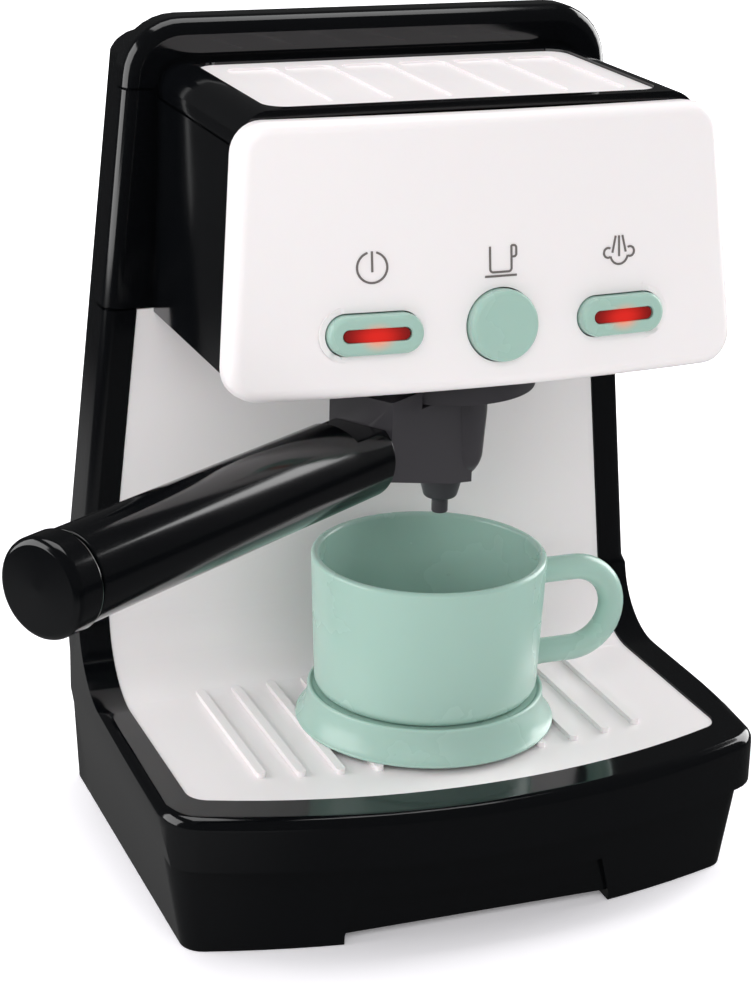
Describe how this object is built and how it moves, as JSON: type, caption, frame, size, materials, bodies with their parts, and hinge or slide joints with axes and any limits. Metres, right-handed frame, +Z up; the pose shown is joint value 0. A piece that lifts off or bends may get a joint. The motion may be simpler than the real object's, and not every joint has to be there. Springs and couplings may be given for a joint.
{
  "type": "toy coffee maker",
  "caption": "Play espresso machine with drip tray, three push buttons, swinging filter holder with handle, and a loose cup on a saucer.",
  "frame": {"origin": "on the rest plane under the middle of the base, on the housing's plane of symmetry", "axes": "+Z up, front of the machine towards -Y, +X to the machine's right-hand side as seen from the front"},
  "size_m": [0.2707, 0.2204, 0.28],
  "materials": {
    "black_shell": "moulded ABS, polished",
    "black_grip": "moulded ABS, high gloss",
    "white_shell": "moulded ABS, soft gloss",
    "mint_plastic": "moulded ABS, soft gloss",
    "mint_tableware": "moulded polypropylene, soft gloss",
    "grey_group": "moulded ABS, fine satin",
    "red_window": "tinted clear plastic",
    "grey_print": "pad-printed ink",
    "bright_steel": "nickel-plated steel",
    "board_green": "glass-fibre board with solder mask",
    "dark_parts": "moulded black housing",
    "cell_wrap": "printed cell sleeve"
  },
  "bodies": {
    "housing": {"base_tub": "black_shell", "lower_frame": "black_shell", "tray_panel": "white_shell", "rear_cover": "black_shell", "head_housing": "black_shell", "top_cover": "black_shell", "cup_warmer": "white_shell", "front_fascia": "white_shell", "pictograms": "grey_print", "group_collar": "grey_group", "battery_box": "dark_parts", "batteries": "cell_wrap", "battery_contacts": "bright_steel", "circuit_board": "board_green", "button_switches": "dark_parts", "status_lamps": "red_window", "speaker": "dark_parts", "housing_screws": "bright_steel", "power_spring": "bright_steel", "steam_spring": "bright_steel", "brew_spring": "bright_steel"},
    "power_key": {"power_button": "mint_plastic", "power_lens": "red_window"},
    "steam_key": {"steam_button": "mint_plastic", "steam_lens": "red_window"},
    "brew_key": {"brew_button": "mint_plastic"},
    "filter_arm": {"filter_holder": "grey_group", "filter_basket": "bright_steel", "spout": "grey_group", "handle_grip": "black_grip", "handle_cap": "black_grip", "handle_screw": "bright_steel"},
    "saucer_body": {"saucer": "mint_tableware"},
    "cup_body": {"cup": "mint_tableware"},
    "door": {"battery_door": "black_shell"}
  },
  "joints": [
    {"name": "power_press", "type": "slide", "parent": "housing", "child": "power_key", "axis": [0, 0.9912, -0.1323], "range_m": [0, 0.0025], "stiffness_N_per_m": 180, "springref_m": -0.0015, "deforming": ["power_spring"]},
    {"name": "steam_press", "type": "slide", "parent": "housing", "child": "steam_key", "axis": [0, 0.9912, -0.1323], "range_m": [0, 0.0025], "stiffness_N_per_m": 180, "springref_m": -0.0015, "deforming": ["steam_spring"]},
    {"name": "brew_press", "type": "slide", "parent": "housing", "child": "brew_key", "axis": [0, 0.9912, -0.1323], "range_m": [0, 0.0025], "stiffness_N_per_m": 180, "springref_m": -0.0015, "deforming": ["brew_spring"]},
    {"name": "filter_swing", "type": "hinge", "parent": "housing", "child": "filter_arm", "pos_m": [0, -0.029, 0.1596], "axis": [0, 0, 1], "range_deg": [0, 55]},
    {"name": "saucer_slide", "type": "slide", "parent": "housing", "child": "saucer_body", "axis": [0, -0.9986, 0.0523], "range_m": [0, 0.145]},
    {"name": "cup_lift", "type": "slide", "parent": "saucer_body", "child": "cup_body", "axis": [0, 0, 1], "range_m": [0, 0.01]},
    {"name": "door_slide", "type": "slide", "parent": "housing", "child": "door", "axis": [0, 0, 1], "range_m": [0, 0.0345]}
  ]
}
